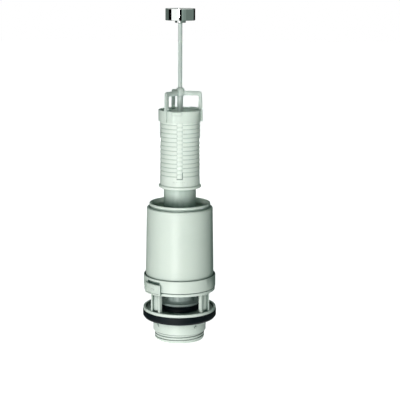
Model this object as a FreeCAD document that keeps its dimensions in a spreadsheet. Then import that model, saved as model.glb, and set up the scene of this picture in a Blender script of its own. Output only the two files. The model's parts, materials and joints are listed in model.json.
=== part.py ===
"""Pull-up flush valve for a toilet cistern, as a parametric document.

All lengths are in millimetres and all angles in degrees. The axis of the valve is Z, with its
origin at the middle of the spigot's lower end. The front is -Y and the right is +X. From the
bottom up: a base moulding with a threaded spigot, a seat and a basket of four posts; a bell that
locks on the basket with a short twist; inside it the stem with the flush seal, the float and the
overflow tube, which lift together; on the tube a ribbed height sleeve with a three-armed bracket;
and in the bracket a pull rod with a chromed knob.
"""
import FreeCAD, Part
import Sketcher
import math
import os
from types import SimpleNamespace

# Driving sizes: word, value
SIZES = {
    # Base moulding: spigot, flange and seat
    "shank_r": 31.65,
    "thread_step": 1.85,
    "thread_length": 11.0,
    "thread_depth": 0.9,
    "spigot_wall": 2.9,
    "spigot_length": 34.0,
    "flange_r": 43.35,
    "flange_height": 5.6,
    "rim_width": 2.8,
    "rim_height": 3.5,
    "rim_ledge": 1.45,
    "dish_floor": 1.6,
    "seat_bore_r": 20.5,
    "seat_width": 2.4,
    "seat_lip": 0.5,
    "lug_size": 2.2,
    "lug_proud": 0.9,
    "lug_turn": -10.0,
    "lug_drop": 8.2,
    # Basket: posts, lip and upstand
    "post_turn": 47.6,
    "post_inset": 0.7,
    "post_depth": 3.9,
    "post_width": 14.0,
    "post_web": 2.0,
    "post_rib": 2.3,
    "post_slot": 1.6,
    "gusset": 1.7,
    "window_height": 21.4,
    "lip_inset": 1.15,
    "lip_thick": 3.6,
    "lip_chamfer": 0.9,
    "upstand_height": 7.4,
    "upstand_wall": 1.8,
    # Seals on the spigot
    "seal_proud": 0.5,
    "seal_thick": 7.5,
    "seal_bevel": 1.85,
    "washer_width": 5.8,
    "washer_thick": 2.3,
    "slip_gap": 0.15,
    # Bell
    "foot_inset": 1.8,
    "bell_taper": 1.5,
    "bell_wall": 2.0,
    "bell_height": 100.9,
    "shoulder_drop": 4.9,
    "shoulder_round": 1.8,
    "neck_inset": 3.7,
    "neck_wall": 1.0,
    "rim_bead_proud": 0.85,
    "rim_bead_height": 2.9,
    "floor_rise": 15.1,
    "bell_floor": 2.5,
    "floor_fillet": 1.5,
    "guide_wall": 2.1,
    "guide_height": 15.5,
    "drain_count": 6.0,
    "drain_margin": 5.05,
    "drain_length": 11.0,
    "drain_sweep": 28.0,
    "running_gap": 0.35,
    "twist_gap": 0.3,
    # Locking ring on the foot of the bell
    "ring_wall": 2.2,
    "ring_height": 14.6,
    "ring_round": 0.7,
    "ring_groove": 1.3,
    "block_wall": 1.8,
    "block_sweep": 33.2,
    "block_end_wall": 1.2,
    "block_rise": 8.9,
    "ear_reach": 0.9,
    "ear_sweep": 3.2,
    "ear_height": 4.2,
    "hook_turn": 7.0,
    "hook_sweep": 9.0,
    "hook_reach": 1.1,
    "hook_thick": 2.0,
    "hook_entry": 11.0,
    "ledge_thick": 1.1,
    "panel_edge": 1.5,
    "panel_depth": 0.4,
    "key_turn": 2.5,
    "key_sweep": 5.0,
    "key_depth": 1.3,
    "slot_height": 2.9,
    # Stem, flush seal and float
    "stem_r": 15.5,
    "stem_wall": 2.2,
    "disc_lap": 3.2,
    "disc_thick": 2.6,
    "disc_fillet": 3.0,
    "flush_seal_thick": 7.1,
    "flush_seal_core": 1.1,
    "flush_seal_waist": 0.9,
    "retainer_gap": 0.9,
    "retainer_thick": 2.9,
    "stem_rise": 54.0,
    "stem_flange_lap": 3.0,
    "stem_flange_thick": 2.5,
    "socket_length": 14.5,
    "ring_section_r": 0.75,
    "float_clearance": 5.9,
    "float_height": 37.5,
    "float_round": 3.5,
    "clip_thick": 2.0,
    "clip_width": 4.1,
    "clip_sweep": 300.0,
    "clip_groove": 0.6,
    # Overflow tube
    "tube_r": 19.0,
    "tube_wall": 1.6,
    "tube_length": 132.5,
    # Height sleeve
    "sleeve_space": 2.4,
    "sleeve_wall": 2.0,
    "sleeve_length": 89.2,
    "sleeve_stand": 18.2,
    "sleeve_gap": 0.45,
    "bead_proud": 1.75,
    "bead_thick": 3.5,
    "band_height": 12.2,
    "rib_pitch": 5.0,
    "rib_count": 13.0,
    "rib_depth": 0.9,
    "rib_notch": 1.15,
    "rib_slope": 4.2,
    "rib_taper": 0.25,
    "strip_sweep": 16.6,
    "strip_depth": 0.8,
    "strip_tail": 2.6,
    "tooth_sweep": 12.0,
    "tooth_height": 1.7,
    "tooth_proud": 0.55,
    "tongue_slot": 0.8,
    "sleeve_ring_r": 1.0,
    # Bracket with three arms
    "collar_wall": 1.7,
    "collar_gap": 0.12,
    "collar_height": 13.2,
    "collar_lap": 10.7,
    "arm_turn": -9.4,
    "arm_foot_proud": 1.4,
    "arm_lean": 1.4,
    "arm_thick": 3.5,
    "arm_width": 3.5,
    "arm_rise": 16.4,
    "arm_chamfer": 1.8,
    "bar_height": 5.1,
    "bend_r": 3.6,
    "hub_wall": 1.8,
    "hub_drop": 0.4,
    "cone_wall": 0.3,
    "cone_height": 3.4,
    "tab_height": 0.9,
    "tab_sweep": 44.0,
    "tab_turn": 40.0,
    "pad_height": 3.4,
    "pad_sweep": 25.0,
    "pad_proud": 0.9,
    "pad_turn": 262.2,
    # Rod and its sleeve
    "rod_r": 2.35,
    "rod_gap": 0.08,
    "rod_sleeve_wall": 1.05,
    "rod_sleeve_drop": 48.0,
    "rod_sleeve_step": 0.7,
    "rod_sleeve_step_height": 1.0,
    "rod_tail": 41.0,
    "rod_show": 74.6,
    # Knob
    "knob_r": 17.1,
    "knob_height": 13.4,
    "knob_wall": 1.0,
    "knob_floor": 1.2,
    "knob_round": 0.5,
    "knob_hub_lap": 1.85,
    "knob_hub_height": 2.8,
    "knob_neck_wall": 1.97,
    "knob_neck_height": 5.0,
    "face_gap": 0.3,
    "face_edge": 1.3,
    "face_thick": 2.4,
    "face_bevel": 0.5,
    "rod_in_knob": 8.0,
}

DOC = FreeCAD.newDocument("pull_up_flush_valve")


class Size:
    """A number together with the spreadsheet formula that gives it."""

    def __init__(self, number, formula):
        self.number = float(number)
        self.formula = formula

    def __add__(self, other):
        other = as_size(other)
        return Size(self.number + other.number, f"({self.formula} + {other.formula})")

    def __sub__(self, other):
        other = as_size(other)
        return Size(self.number - other.number, f"({self.formula} - {other.formula})")

    def __mul__(self, factor):
        return Size(self.number * factor, f"({self.formula} * {factor})")

    def __truediv__(self, factor):
        return Size(self.number / factor, f"({self.formula} / {factor})")

    def __neg__(self):
        return Size(-self.number, f"(0 - {self.formula})")


def as_size(value):
    """Give a plain number the form of a size."""
    if isinstance(value, Size):
        return value
    return Size(value, str(float(value)))


def write_sheet():
    """Write every driving size to the spreadsheet and return them as sizes."""
    sheet = DOC.addObject("Spreadsheet::Sheet", "Sizes")
    words = SimpleNamespace()
    for row, (word, value) in enumerate(SIZES.items(), start=1):
        sheet.set(f"A{row}", word)
        sheet.set(f"B{row}", str(value))
        sheet.setAlias(f"B{row}", word)
        setattr(words, word, Size(value, f"Sizes.{word}"))
    DOC.recompute()
    return words


d = write_sheet()

# Levels along the axis, stacked from the spigot's lower end
FLANGE_TOP = d.spigot_length + d.flange_height
DISH_TOP = d.spigot_length + d.dish_floor
SEAT_TOP = DISH_TOP + d.seat_lip
LIP_BOTTOM = FLANGE_TOP + d.window_height
LIP_TOP = LIP_BOTTOM + d.lip_thick
FOOT = LIP_TOP + d.twist_gap
RING_TOP = FOOT + d.ring_height
FLOOR_BOTTOM = FOOT + d.floor_rise
FLOOR_TOP = FLOOR_BOTTOM + d.bell_floor
RIM_TOP = FOOT + d.bell_height
SHOULDER = RIM_TOP - d.shoulder_drop
FLUSH_SEAL_BOTTOM = SEAT_TOP + d.twist_gap
DISC_BOTTOM = FLUSH_SEAL_BOTTOM + d.flush_seal_thick
DISC_TOP = DISC_BOTTOM + d.disc_thick
STEM_FLANGE_BOTTOM = DISC_TOP + d.stem_rise
TUBE_BOTTOM = STEM_FLANGE_BOTTOM + d.stem_flange_thick
TUBE_TOP = TUBE_BOTTOM + d.tube_length
FLOAT_TOP = TUBE_BOTTOM + d.float_height
SLEEVE_BOTTOM = RIM_TOP + d.sleeve_stand
BAND_TOP = SLEEVE_BOTTOM + d.bead_thick + d.band_height
SLEEVE_TOP = SLEEVE_BOTTOM + d.sleeve_length
COLLAR_BOTTOM = SLEEVE_TOP - d.collar_lap
COLLAR_TOP = COLLAR_BOTTOM + d.collar_height
BAR_BOTTOM = COLLAR_TOP + d.arm_rise
BAR_TOP = BAR_BOTTOM + d.bar_height
CONE_TOP = BAR_TOP + d.cone_height
KNOB_HUB_BOTTOM = CONE_TOP + d.rod_show
KNOB_BOTTOM = KNOB_HUB_BOTTOM + d.knob_hub_height
KNOB_TOP = KNOB_BOTTOM + d.knob_height
RIM_BOTTOM = FLANGE_TOP - d.rim_height
HOOK_BOTTOM = LIP_TOP - d.hook_thick
SEAL_BOTTOM = d.spigot_length - d.seal_thick

# Radii that follow from one another, from the flange and the tube outwards
SPIGOT_SLEEVE_R = d.shank_r + d.slip_gap
LEDGE_R = d.flange_r - d.rim_ledge
LIP_R = d.flange_r - d.lip_inset
HOOK_R = LIP_R + d.hook_reach
POST_R = LIP_R - d.post_inset
BELL_FOOT_R = LIP_R - d.foot_inset
BELL_TOP_R = BELL_FOOT_R - d.bell_taper
NECK_R = BELL_TOP_R - d.neck_inset
RING_IN_R = BELL_FOOT_R + d.slip_gap
RING_R = RING_IN_R + d.ring_wall
POCKET_IN_R = LIP_R + d.twist_gap
POCKET_R = HOOK_R + d.twist_gap
BLOCK_R = POCKET_R + d.block_wall
TUBE_BORE = d.tube_r - d.tube_wall
STEM_BORE = d.stem_r - d.stem_wall
DISC_R = d.seat_bore_r + d.disc_lap
FLUSH_CORE_R = d.stem_r + d.flush_seal_core
FLUSH_BORE = FLUSH_CORE_R + d.slip_gap
GUIDE_R = d.stem_r + d.running_gap + d.guide_wall
SLEEVE_BORE = d.tube_r + d.sleeve_space
SLEEVE_R = SLEEVE_BORE + d.sleeve_wall
COLLAR_BORE = SLEEVE_R + d.collar_gap
COLLAR_R = COLLAR_BORE + d.collar_wall
ROD_BORE = d.rod_r + d.rod_gap
ROD_SLEEVE_R = ROD_BORE + d.rod_sleeve_wall
KNOB_NECK_R = ROD_BORE + d.knob_neck_wall


def origin_part(body, role):
    """Return a body's own origin plane or axis."""
    return [part for part in body.Origin.OriginFeatures if part.Role == role][0]


def bind(thing, prop, size):
    """Tie a property to the spreadsheet and show the value at once."""
    thing.setExpression(prop, as_size(size).formula)


def new_body(name, turn=None):
    """Start a body, turned about the valve's axis by an angle if one is given."""
    body = DOC.addObject("PartDesign::Body", name)
    body.Label = name
    if turn is not None:
        body.Placement = FreeCAD.Placement(
            FreeCAD.Vector(), FreeCAD.Rotation(FreeCAD.Vector(0, 0, 1), turn.number))
        bind(body, "Placement.Rotation.Angle", turn)
    return body


def unit_to(start, end):
    """Return the unit vector from one point to another."""
    step = end - start
    return step / step.Length


def place_point(sketch, geometry, end, x, y):
    """Fix one point of a sketch at a distance from its origin, bound to the sizes."""
    for kind, size, axis in (("DistanceX", as_size(x), -2), ("DistanceY", as_size(y), -1)):
        if abs(size.number) < 1e-9:
            sketch.addConstraint(Sketcher.Constraint("PointOnObject", geometry, end, axis))
        else:
            index = sketch.addConstraint(Sketcher.Constraint(kind, geometry, end, size.number))
            sketch.setExpression(f"Constraints[{index}]", size.formula)


def draw_outline(sketch, corners):
    """Draw a closed outline; a corner is x, y and, where it is rounded, a radius."""
    points = [FreeCAD.Vector(as_size(c[0]).number, as_size(c[1]).number, 0) for c in corners]
    count = len(corners)
    starts = list(points)
    ends = list(points)
    rounds = {}
    for i, corner in enumerate(corners):
        if len(corner) == 2:
            continue
        radius = as_size(corner[2])
        back = unit_to(points[i], points[i - 1])
        ahead = unit_to(points[i], points[(i + 1) % count])
        half = back.getAngle(ahead) / 2
        cut = radius.number / math.tan(half)
        ends[i] = points[i] + back * cut
        starts[i] = points[i] + ahead * cut
        middle = points[i] + (back + ahead).normalize() * (radius.number / math.sin(half))
        convex = back.cross(ahead).z < 0
        rounds[i] = (radius, middle, convex)
    lines = []
    for i in range(count):
        line = Part.LineSegment(starts[i], ends[(i + 1) % count])
        lines.append(sketch.addGeometry(line, False))
    for i in range(count):
        before = lines[i - 1]
        after = lines[i]
        if i not in rounds:
            sketch.addConstraint(Sketcher.Constraint("Coincident", before, 2, after, 1))
            place_point(sketch, after, 1, corners[i][0], corners[i][1])
            continue
        radius, middle, convex = rounds[i]
        first, last = (ends[i], starts[i]) if convex else (starts[i], ends[i])
        circle = Part.Circle(middle, FreeCAD.Vector(0, 0, 1), radius.number)
        arc = sketch.addGeometry(
            Part.ArcOfCircle(circle, circle.parameter(first), circle.parameter(last)), False)
        tip = sketch.addGeometry(Part.Point(points[i]), True)
        near, far = (1, 2) if convex else (2, 1)
        sketch.addConstraint(Sketcher.Constraint("Tangent", before, 2, arc, near))
        sketch.addConstraint(Sketcher.Constraint("Tangent", arc, far, after, 1))
        sketch.addConstraint(Sketcher.Constraint("PointOnObject", tip, 1, before))
        sketch.addConstraint(Sketcher.Constraint("PointOnObject", tip, 1, after))
        place_point(sketch, tip, 1, corners[i][0], corners[i][1])
        index = sketch.addConstraint(Sketcher.Constraint("Radius", arc, radius.number))
        sketch.setExpression(f"Constraints[{index}]", radius.formula)


def side_sketch(body, name, corners, turn=None):
    """Draw an outline of radius and height in the plane through the axis at an angle."""
    sketch = body.newObject("Sketcher::SketchObject", name)
    sketch.AttachmentSupport = (origin_part(body, "XZ_Plane"), [""])
    sketch.MapMode = "FlatFace"
    if turn is not None:
        turn = as_size(turn)
        sketch.AttachmentOffset = FreeCAD.Placement(
            FreeCAD.Vector(), FreeCAD.Rotation(FreeCAD.Vector(0, 1, 0), turn.number))
        bind(sketch, "AttachmentOffset.Rotation.Angle", turn)
    draw_outline(sketch, corners)
    return sketch


def level_sketch(body, name, corners, level, turn=None):
    """Draw an outline seen from above at a height."""
    sketch = body.newObject("Sketcher::SketchObject", name)
    sketch.AttachmentSupport = (origin_part(body, "XY_Plane"), [""])
    sketch.MapMode = "FlatFace"
    if turn is not None:
        turn = as_size(turn)
        sketch.AttachmentOffset = FreeCAD.Placement(
            FreeCAD.Vector(), FreeCAD.Rotation(FreeCAD.Vector(0, 0, 1), turn.number))
        bind(sketch, "AttachmentOffset.Rotation.Angle", turn)
    bind(sketch, "AttachmentOffset.Base.z", level)
    draw_outline(sketch, corners)
    return sketch


def turn_outline(body, name, corners, turn=None, sweep=None, cut=False):
    """Revolve an outline about the axis, all the way or through a sweep centred on an angle."""
    sketch = side_sketch(body, name + "_outline", corners, turn)
    kind = "PartDesign::Groove" if cut else "PartDesign::Revolution"
    feature = body.newObject(kind, name)
    feature.Profile = sketch
    feature.ReferenceAxis = (sketch, ["V_Axis"])
    if sweep is None:
        feature.Angle = 360
    else:
        feature.Midplane = True
        bind(feature, "Angle", sweep)
    sketch.Visibility = False
    return feature


def pad_outline(body, name, sketch, length, midplane=False, cut=False):
    """Pad or pocket a sketch, upwards or evenly to both sides."""
    feature = body.newObject("PartDesign::Pocket" if cut else "PartDesign::Pad", name)
    feature.Profile = sketch
    feature.Midplane = midplane
    if cut and not midplane:
        feature.Reversed = True
    bind(feature, "Length", length)
    sketch.Visibility = False
    return feature


def repeat_round(body, name, features, count):
    """Repeat features evenly round the axis."""
    pattern = body.newObject("PartDesign::PolarPattern", name)
    pattern.Originals = features
    pattern.Axis = (origin_part(body, "Z_Axis"), [""])
    pattern.Angle = 360
    if isinstance(count, Size):
        bind(pattern, "Occurrences", count)
    else:
        pattern.Occurrences = count
    body.Tip = pattern
    return pattern


def repeat_up(body, name, features, step, count):
    """Repeat features upwards at a pitch."""
    pattern = body.newObject("PartDesign::LinearPattern", name)
    pattern.Originals = features
    pattern.Direction = (origin_part(body, "Z_Axis"), [""])
    pattern.Mode = "Spacing"
    bind(pattern, "Offset", step)
    bind(pattern, "Occurrences", count)
    body.Tip = pattern
    return pattern


def ring_corners(inner, outer, bottom, top, rounding=None):
    """Return the four corners of a plain ring's section, the outer two rounded if asked."""
    if rounding is None:
        return [(inner, bottom), (outer, bottom), (outer, top), (inner, top)]
    return [(inner, bottom), (outer, bottom, rounding), (outer, top, rounding), (inner, top)]


def o_ring(name, radius, section, level):
    """Make a rubber O-ring."""
    ring = DOC.addObject("Part::Torus", name)
    ring.Label = name
    bind(ring, "Radius1", radius)
    bind(ring, "Radius2", section)
    bind(ring, "Placement.Base.z", level)
    return ring


def make_valve_base():
    """Mould the spigot, the dished flange with its seat, and the basket on four posts."""
    body = new_body("valve_base", d.post_turn)
    seat_out = d.seat_bore_r + d.seat_width
    rim_in = d.flange_r - d.rim_width
    throat = d.spigot_length - d.seat_width
    thread_root = d.shank_r - d.thread_step - d.thread_depth
    outlet_bore = thread_root - d.spigot_wall
    turn_outline(body, "spigot_and_flange", [
        (outlet_bore, 0),
        (thread_root, 0, 0.5),
        (thread_root, d.thread_length),
        (d.shank_r, d.thread_length, 0.4),
        (d.shank_r, d.spigot_length),
        (LEDGE_R, d.spigot_length),
        (LEDGE_R, RIM_BOTTOM),
        (d.flange_r, RIM_BOTTOM),
        (d.flange_r, FLANGE_TOP, 0.9),
        (rim_in, FLANGE_TOP, 0.6),
        (rim_in, DISH_TOP, 0.8),
        (seat_out, DISH_TOP),
        (seat_out, SEAT_TOP),
        (d.seat_bore_r, SEAT_TOP),
        (d.seat_bore_r, throat),
        (outlet_bore, throat - d.seat_width),
    ])
    lug = level_sketch(body, "spigot_lug_outline", [
        (d.shank_r - d.lug_proud, -(d.lug_size / 2)),
        (d.shank_r + d.lug_proud, -(d.lug_size / 2)),
        (d.shank_r + d.lug_proud, d.lug_size / 2),
        (d.shank_r - d.lug_proud, d.lug_size / 2),
    ], SEAL_BOTTOM - d.lug_drop, d.lug_turn)
    lug_pad = pad_outline(body, "spigot_lug", lug, d.lug_size)
    repeat_round(body, "spigot_lugs", [lug_pad], 4)
    lip_in = POST_R - d.post_depth
    turn_outline(body, "lip", [
        (lip_in, LIP_BOTTOM),
        (LIP_R, LIP_BOTTOM),
        (LIP_R, LIP_TOP - d.lip_chamfer),
        (LIP_R - d.lip_chamfer, LIP_TOP),
        (lip_in, LIP_TOP),
    ])
    upstand_r = BELL_FOOT_R - d.bell_wall - d.running_gap
    turn_outline(body, "upstand", ring_corners(
        upstand_r - d.upstand_wall, upstand_r, LIP_TOP - d.lip_thick, LIP_TOP + d.upstand_height))
    half = d.post_width / 2
    web_out = lip_in + d.post_web
    post = level_sketch(body, "post_outline", [
        (lip_in, -half),
        (POST_R, -half),
        (POST_R, -(half - d.post_rib)),
        (web_out, -(half - d.post_rib)),
        (web_out, half - d.post_rib),
        (POST_R, half - d.post_rib),
        (POST_R, half),
        (lip_in, half),
    ], d.spigot_length + d.dish_floor / 2)
    post_pad = pad_outline(body, "post", post, LIP_BOTTOM - d.spigot_length + d.dish_floor / 2)
    repeat_round(body, "posts", [post_pad], 4)
    slot = level_sketch(body, "post_slot_outline", [
        (lip_in - d.post_web, -(half - d.post_rib)),
        (POST_R, -(half - d.post_rib)),
        (POST_R, half - d.post_rib),
        (lip_in - d.post_web, half - d.post_rib),
    ], FLANGE_TOP)
    slot_cut = pad_outline(body, "post_slot", slot, d.post_slot, cut=True)
    repeat_round(body, "post_slots", [slot_cut], 4)
    gusset = body.newObject("Sketcher::SketchObject", "gusset_outline")
    gusset.AttachmentSupport = (origin_part(body, "YZ_Plane"), [""])
    gusset.MapMode = "FlatFace"
    bind(gusset, "AttachmentOffset.Base.z", lip_in + d.gusset / 4)
    draw_outline(gusset, [
        (-half, LIP_BOTTOM - d.gusset),
        (half, LIP_BOTTOM - d.gusset),
        (half + d.gusset, LIP_BOTTOM),
        (half + d.gusset, LIP_BOTTOM + d.lip_thick / 4),
        (-(half + d.gusset), LIP_BOTTOM + d.lip_thick / 4),
        (-(half + d.gusset), LIP_BOTTOM),
    ])
    gusset_pad = pad_outline(body, "gusset_pad", gusset, d.post_depth - d.gusset / 2)
    repeat_round(body, "gussets", [gusset_pad], 4)
    hook_in = LIP_R - d.upstand_wall
    hook = turn_outline(body, "hook", ring_corners(
        hook_in, HOOK_R, HOOK_BOTTOM, LIP_TOP), d.hook_turn, d.hook_sweep)
    repeat_round(body, "hooks", [hook], 2)
    return body


def make_seals_on_spigot():
    """Make the rubber seal that closes the cistern's hole, and the slip washer under it."""
    seal_r = d.flange_r + d.seal_proud
    lip_bore = LEDGE_R + d.slip_gap
    seal = new_body("base_seal")
    turn_outline(seal, "seal_section", [
        (SPIGOT_SLEEVE_R, SEAL_BOTTOM),
        (seal_r - d.seal_bevel, SEAL_BOTTOM, 0.5),
        (seal_r, SEAL_BOTTOM + d.seal_bevel * 1.4, 0.8),
        (seal_r, RIM_BOTTOM, 0.5),
        (lip_bore, RIM_BOTTOM),
        (lip_bore, d.spigot_length),
        (SPIGOT_SLEEVE_R, d.spigot_length),
    ])
    washer = new_body("seal_washer")
    turn_outline(washer, "washer_section", ring_corners(
        SPIGOT_SLEEVE_R, SPIGOT_SLEEVE_R + d.washer_width, SEAL_BOTTOM - d.washer_thick,
        SEAL_BOTTOM, 0.5))
    return [seal, washer]


def make_bell_housing():
    """Mould the bell: an open cup with a beaded rim, a drained floor and a guide for the stem."""
    body = new_body("bell_housing", d.post_turn)
    guide_in = d.stem_r + d.running_gap
    inside_foot = BELL_FOOT_R - d.bell_wall
    mouth_r = NECK_R - d.neck_wall
    turn_outline(body, "bell_section", [
        (inside_foot, FOOT),
        (BELL_FOOT_R, FOOT, 0.4),
        (BELL_FOOT_R, RING_TOP),
        (BELL_TOP_R, SHOULDER, d.shoulder_round),
        (NECK_R, SHOULDER),
        (NECK_R, RIM_TOP - d.rim_bead_height),
        (NECK_R + d.rim_bead_proud, RIM_TOP - d.rim_bead_height, 0.3),
        (NECK_R + d.rim_bead_proud, RIM_TOP, 0.8),
        (mouth_r, RIM_TOP, 0.7),
        (mouth_r, SHOULDER - d.bell_wall * 0.4),
        (BELL_TOP_R - d.bell_wall, SHOULDER - d.bell_wall * 2),
        (inside_foot, FLOOR_TOP, d.floor_fillet),
        (GUIDE_R, FLOOR_TOP, 0.8),
        (GUIDE_R, FLOOR_BOTTOM + d.guide_height),
        (guide_in, FLOOR_BOTTOM + d.guide_height),
        (guide_in, FLOOR_BOTTOM),
        (inside_foot, FLOOR_BOTTOM, 1.0),
    ])
    drain_in = GUIDE_R + d.drain_margin
    drain = turn_outline(body, "drain", ring_corners(
        drain_in, drain_in + d.drain_length, FLOOR_BOTTOM - d.bell_floor, FLOOR_TOP + d.bell_floor),
        sweep=d.drain_sweep, cut=True)
    repeat_round(body, "drains", [drain], d.drain_count)
    return body


def make_locking_ring():
    """Mould the ring on the bell's foot, with the two bayonet blocks and their ears."""
    body = new_body("locking_ring", d.post_turn)
    turn_outline(body, "ring_section", [
        (RING_IN_R, FOOT),
        (RING_R, FOOT, 0.5),
        (RING_R, RING_TOP, d.ring_round),
        (RING_IN_R + d.ring_groove, RING_TOP),
        (RING_IN_R, RING_TOP - d.ring_groove * 1.5),
    ])
    pocket_sweep = d.block_sweep - d.block_end_wall * 2
    high_end = d.hook_turn + d.hook_sweep / 2 + d.twist_gap
    block_middle = high_end + d.block_end_wall - d.block_sweep / 2
    ledge_top = HOOK_BOTTOM - d.twist_gap
    block_bottom = ledge_top - d.ledge_thick
    block_top = FOOT + d.block_rise
    below = POCKET_IN_R + d.twist_gap / 6
    inner = RING_IN_R + d.ring_wall / 2
    block = turn_outline(body, "block", [
        (below, block_bottom),
        (BLOCK_R, block_bottom, 0.6),
        (BLOCK_R, block_top, 0.6),
        (inner, block_top),
        (inner, FOOT),
        (below, FOOT),
    ], block_middle, d.block_sweep)
    ear_turn = block_middle - d.block_sweep / 2 + d.ear_sweep / 4
    ear_top = block_top - d.ear_height / 4
    ear_r = BLOCK_R + d.ear_reach
    ear = turn_outline(body, "ear", [
        (inner, ear_top - d.ear_height),
        (ear_r, ear_top - d.ear_height, 0.5),
        (ear_r, ear_top, 0.5),
        (inner, ear_top),
    ], ear_turn, d.ear_sweep)
    pocket = turn_outline(body, "pocket", [
        (RING_IN_R, ledge_top),
        (POCKET_R, ledge_top),
        (POCKET_R, FOOT),
        (RING_IN_R, FOOT),
    ], high_end - pocket_sweep / 2, pocket_sweep, cut=True)
    entry = turn_outline(body, "entry", [
        (RING_IN_R, block_bottom - d.ledge_thick),
        (POCKET_R, block_bottom - d.ledge_thick),
        (POCKET_R, FOOT),
        (RING_IN_R, FOOT),
    ], high_end - pocket_sweep + d.hook_entry / 2, d.hook_entry, cut=True)
    frame_sweep = d.block_sweep - d.block_end_wall * 4
    panel = turn_outline(body, "block_panel", [
        (BLOCK_R - d.panel_depth, block_bottom + d.panel_edge),
        (BLOCK_R + d.panel_depth, block_bottom + d.panel_edge),
        (BLOCK_R + d.panel_depth, block_top - d.panel_edge),
        (BLOCK_R - d.panel_depth, block_top - d.panel_edge),
    ], block_middle, frame_sweep, cut=True)
    key_middle = (block_bottom + block_top) / 2
    key = turn_outline(body, "block_key", [
        (BLOCK_R - d.key_depth, key_middle - d.panel_edge / 2),
        (BLOCK_R - d.panel_depth / 4, key_middle - d.panel_edge / 2),
        (BLOCK_R - d.panel_depth / 4, key_middle + d.panel_edge / 2),
        (BLOCK_R - d.key_depth, key_middle + d.panel_edge / 2),
    ], block_middle + d.key_turn, d.key_sweep)
    slot = turn_outline(body, "slot_above", ring_corners(
        RING_IN_R - d.ring_groove, BLOCK_R, block_top, block_top + d.slot_height),
        block_middle, frame_sweep, cut=True)
    repeat_round(body, "both_blocks", [block, ear, pocket, entry, panel, key, slot], 2)
    return body


def make_stem():
    """Make the stem with its disc, and the flush seal, retainer and stem O-ring on it."""
    stem_bottom = FLUSH_SEAL_BOTTOM - d.retainer_thick
    flange_r = d.tube_r + d.stem_flange_lap
    socket_r = TUBE_BORE - d.slip_gap
    groove_r = socket_r - d.ring_section_r * 1.9
    groove_level = TUBE_BOTTOM + d.socket_length / 2
    stem = new_body("valve_stem")
    turn_outline(stem, "stem_section", [
        (STEM_BORE, stem_bottom),
        (FLUSH_CORE_R, stem_bottom),
        (FLUSH_CORE_R, DISC_BOTTOM),
        (DISC_R, DISC_BOTTOM, 0.4),
        (DISC_R, DISC_TOP, 0.8),
        (d.stem_r, DISC_TOP, d.disc_fillet),
        (d.stem_r, STEM_FLANGE_BOTTOM),
        (flange_r, STEM_FLANGE_BOTTOM),
        (flange_r, TUBE_BOTTOM),
        (socket_r, TUBE_BOTTOM),
        (socket_r, groove_level - d.ring_section_r * 1.2),
        (groove_r, groove_level - d.ring_section_r * 1.2),
        (groove_r, groove_level + d.ring_section_r * 1.2),
        (socket_r, groove_level + d.ring_section_r * 1.2),
        (socket_r, TUBE_BOTTOM + d.socket_length),
        (STEM_BORE, TUBE_BOTTOM + d.socket_length),
    ])
    seal = new_body("flush_seal")
    seal_middle = FLUSH_SEAL_BOTTOM + d.flush_seal_thick / 2
    turn_outline(seal, "flush_seal_section", [
        (FLUSH_BORE, FLUSH_SEAL_BOTTOM),
        (DISC_R, FLUSH_SEAL_BOTTOM, 0.6),
        (DISC_R - d.flush_seal_waist, seal_middle, 1.0),
        (DISC_R - d.flush_seal_waist / 3, DISC_BOTTOM, 0.6),
        (FLUSH_BORE, DISC_BOTTOM),
    ])
    retainer = new_body("seal_retainer")
    turn_outline(retainer, "retainer_section", ring_corners(
        FLUSH_BORE, d.seat_bore_r - d.retainer_gap, stem_bottom, FLUSH_SEAL_BOTTOM, 0.5))
    ring = o_ring("stem_o_ring", groove_r + d.ring_section_r, d.ring_section_r, groove_level)
    return [stem, seal, retainer, ring]


def make_overflow_tube():
    """Make the overflow tube, the float round it and the clip that holds the float down."""
    tube = new_body("overflow_tube")
    groove_r = d.tube_r - d.clip_groove
    turn_outline(tube, "tube_section", [
        (TUBE_BORE, TUBE_BOTTOM),
        (d.tube_r, TUBE_BOTTOM),
        (d.tube_r, FLOAT_TOP),
        (groove_r, FLOAT_TOP),
        (groove_r, FLOAT_TOP + d.clip_thick),
        (d.tube_r, FLOAT_TOP + d.clip_thick),
        (d.tube_r, TUBE_TOP, 0.5),
        (TUBE_BORE, TUBE_TOP),
    ])
    float_r = BELL_TOP_R - d.bell_wall - d.float_clearance
    ring = new_body("float_ring")
    turn_outline(ring, "float_section", ring_corners(
        d.tube_r + d.running_gap, float_r, TUBE_BOTTOM, FLOAT_TOP, d.float_round))
    clip = new_body("float_clip")
    turn_outline(clip, "clip_section", ring_corners(
        groove_r, groove_r + d.clip_width, FLOAT_TOP, FLOAT_TOP + d.clip_thick, 0.4),
        sweep=d.clip_sweep)
    return [tube, ring, clip]


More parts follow.
